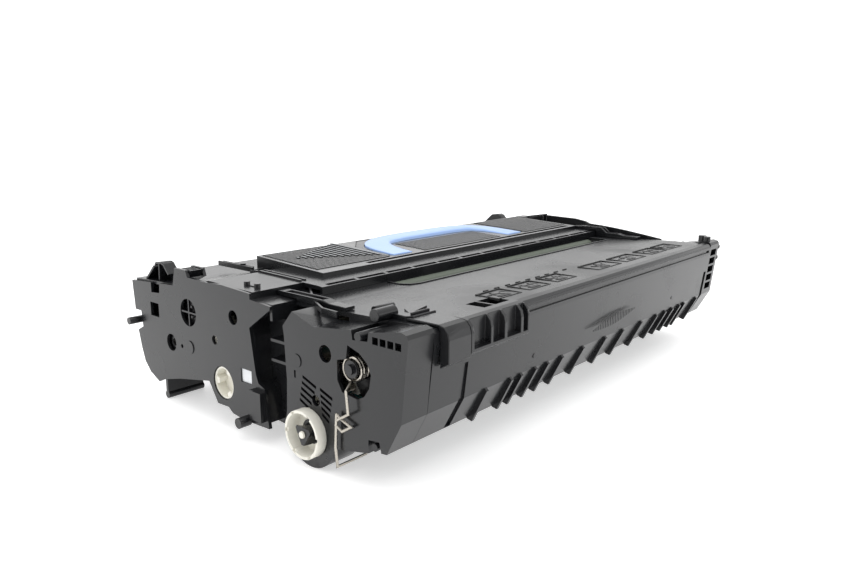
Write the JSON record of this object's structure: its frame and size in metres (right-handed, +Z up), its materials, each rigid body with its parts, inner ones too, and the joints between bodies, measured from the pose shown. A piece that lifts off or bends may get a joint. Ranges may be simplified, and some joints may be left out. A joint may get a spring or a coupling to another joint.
{
  "type": "toner cartridge",
  "caption": "Wide all-in-one toner cartridge: black hopper with a lift-up handle joined to a drum unit with laser slot, drive coupling and shutter",
  "frame": {"origin": "centre of the bounding box in X and Y, on the surface that the cartridge stands on", "axes": "+X along the cartridge from the drive end to the plain end, +Y from the drum unit to the hopper, +Z up"},
  "size_m": [0.483, 0.3124, 0.1181],
  "materials": {
    "black_plastic": "satin",
    "white_plastic": "satin",
    "grey_plastic": "satin",
    "blue_plastic": "satin",
    "clear_white": "satin",
    "steel": "satin",
    "drum_coating": "gloss",
    "sleeve_coating": "matte",
    "magnet": "matte",
    "soft_seal": "matte",
    "dark_rubber": "matte"
  },
  "bodies": {
    "housing": {"hopper_tub": "black_plastic", "hopper_top_cover": "black_plastic", "lid_block": "black_plastic", "hopper_end_cover_near": "black_plastic", "hopper_end_cover_far": "black_plastic", "filler_plug": "grey_plastic", "sensor_window": "clear_white", "link_arm_near": "black_plastic", "link_arm_far": "black_plastic", "slot_seal_strip": "soft_seal", "magnet_core": "magnet", "magnet_holder": "grey_plastic", "sleeve_bearing_near": "white_plastic", "sleeve_bearing_far": "white_plastic", "doctor_bracket": "steel", "doctor_blade": "dark_rubber", "waste_box": "black_plastic", "drum_top_cover": "black_plastic", "grip_cap": "black_plastic", "grip_comb": "black_plastic", "drum_end_plate_near": "black_plastic", "drum_end_plate_far": "black_plastic", "end_screws": "steel", "joint_pin_near": "black_plastic", "joint_pin_far": "black_plastic", "drum_collar": "white_plastic", "drum_axle_far": "steel", "charge_bearing_near": "white_plastic", "charge_bearing_far": "white_plastic", "charge_contact": "steel", "blade_bracket": "steel", "cleaning_blade": "dark_rubber", "shutter_pin_near": "steel", "shutter_pin_far": "steel"},
    "drum": {"drum_tube": "drum_coating", "drum_flange_near": "black_plastic", "drum_flange_far": "grey_plastic"},
    "sleeve": {"sleeve_gear": "white_plastic", "developer_sleeve": "sleeve_coating", "sleeve_end": "grey_plastic"},
    "charging_roller": {"charge_roller": "dark_rubber", "charge_shaft": "steel"},
    "drive_gear": {"drive_gear": "white_plastic"},
    "front_stirrer": {"front_stirrer_gear": "white_plastic", "front_stirrer": "steel"},
    "low_idler": {"low_idler_gear": "white_plastic"},
    "high_idler": {"high_idler_gear": "black_plastic"},
    "rear_stirrer": {"rear_stirrer_gear": "black_plastic", "rear_stirrer": "steel"},
    "shutter": {"drum_shutter": "black_plastic"},
    "rod": {"shutter_rod": "steel"},
    "spring": {"shutter_spring": "steel"},
    "handle": {"carry_handle": "blue_plastic"}
  },
  "joints": [
    {"name": "drum_spin", "type": "hinge", "parent": "housing", "child": "drum", "pos_m": [-0.2065, -0.06375, 0.024], "axis": [1, 0, 0], "continuous": true},
    {"name": "sleeve_spin", "type": "hinge", "parent": "housing", "child": "sleeve", "pos_m": [-0.2065, -0.03825, 0.024], "axis": [1, 0, 0], "continuous": true},
    {"name": "charge_roller_spin", "type": "hinge", "parent": "housing", "child": "charging_roller", "pos_m": [-0.1925, -0.06559, 0.04502], "axis": [1, 0, 0], "continuous": true},
    {"name": "stirrer_drive", "type": "hinge", "parent": "housing", "child": "drive_gear", "pos_m": [-0.2245, 0.03175, 0.0345], "axis": [1, 0, 0], "continuous": true},
    {"name": "front_stirrer_spin", "type": "hinge", "parent": "housing", "child": "front_stirrer", "pos_m": [-0.2245, 0.01196, 0.0417], "axis": [1, 0, 0], "continuous": true},
    {"name": "low_idler_spin", "type": "hinge", "parent": "housing", "child": "low_idler", "pos_m": [-0.2245, 0.03962, 0.06471], "axis": [1, 0, 0], "continuous": true},
    {"name": "high_idler_spin", "type": "hinge", "parent": "housing", "child": "high_idler", "pos_m": [-0.2245, 0.07325, 0.07996], "axis": [1, 0, 0], "continuous": true},
    {"name": "rear_stirrer_spin", "type": "hinge", "parent": "housing", "child": "rear_stirrer", "pos_m": [-0.2245, 0.09978, 0.05161], "axis": [1, 0, 0], "continuous": true},
    {"name": "shutter_swing", "type": "hinge", "parent": "housing", "child": "shutter", "pos_m": [-0.2095, -0.09225, 0.0245], "axis": [1, 0, 0], "range_deg": [-70, 0], "stiffness_Nm_per_rad": 0.05, "springref_deg": 20.05},
    {"name": "rod_swing", "type": "hinge", "parent": "housing", "child": "rod", "pos_m": [-0.2325, -0.09225, 0.01], "axis": [1, 0, 0], "range_deg": [-25, 0]},
    {"name": "spring_swing", "type": "hinge", "parent": "housing", "child": "spring", "pos_m": [-0.2205, -0.10105, 0.0735], "axis": [1, 0, 0], "range_deg": [0, 25]},
    {"name": "handle_lift", "type": "hinge", "parent": "housing", "child": "handle", "pos_m": [0.019, 0.01215, 0.1105], "axis": [1, 0, 0], "range_deg": [0, 90]}
  ],
  "couplings": [
    {"joint": "sleeve_spin", "follows": "drum_spin", "ratio": -1.6667},
    {"joint": "charge_roller_spin", "follows": "drum_spin", "ratio": -2.5},
    {"joint": "front_stirrer_spin", "follows": "stirrer_drive", "ratio": -1.5385},
    {"joint": "low_idler_spin", "follows": "stirrer_drive", "ratio": -0.68966},
    {"joint": "high_idler_spin", "follows": "stirrer_drive", "ratio": 0.68966},
    {"joint": "rear_stirrer_spin", "follows": "stirrer_drive", "ratio": -0.625},
    {"joint": "rod_swing", "follows": "shutter_swing", "ratio": 0.35714},
    {"joint": "spring_swing", "follows": "shutter_swing", "ratio": -0.35714}
  ]
}
